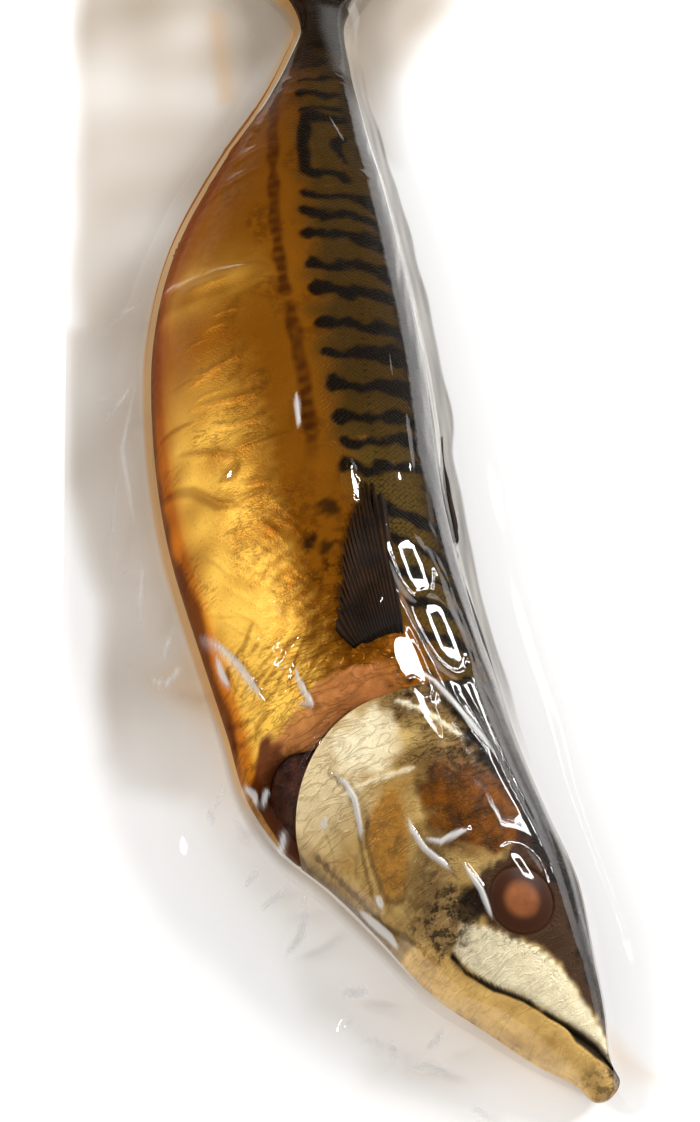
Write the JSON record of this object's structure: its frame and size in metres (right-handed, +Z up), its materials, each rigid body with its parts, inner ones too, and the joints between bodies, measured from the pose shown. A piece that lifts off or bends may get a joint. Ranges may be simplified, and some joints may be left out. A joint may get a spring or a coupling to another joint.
{
  "type": "vacuum-packed smoked mackerel",
  "caption": "Whole smoked mackerel lying on its side, sealed under tight clear film in a flat rectangular vacuum pouch.",
  "frame": {"origin": "middle of the pouch's underside, on the table", "axes": "+Z up; +Y along the pouch towards the fish's tail; +X across it towards the fish's back"},
  "size_m": [0.13, 0.38, 0.0391],
  "materials": {
    "film": "clear, thin and glossy, tight on the fish and creased in the empty margin",
    "skin": "satin smoked skin, golden on the belly and flank, dark bars over olive brown on the back",
    "head": "satin cream and ochre plates, dark along the top",
    "gill": "wet dark red flesh behind the gill cover",
    "eye": "cloudy orange lens in a dark ring",
    "fin": "dry, nearly black fin with fine rays"
  },
  "bodies": {
    "root": {"sealed_smoked_mackerel": "film"}
  },
  "joints": []
}
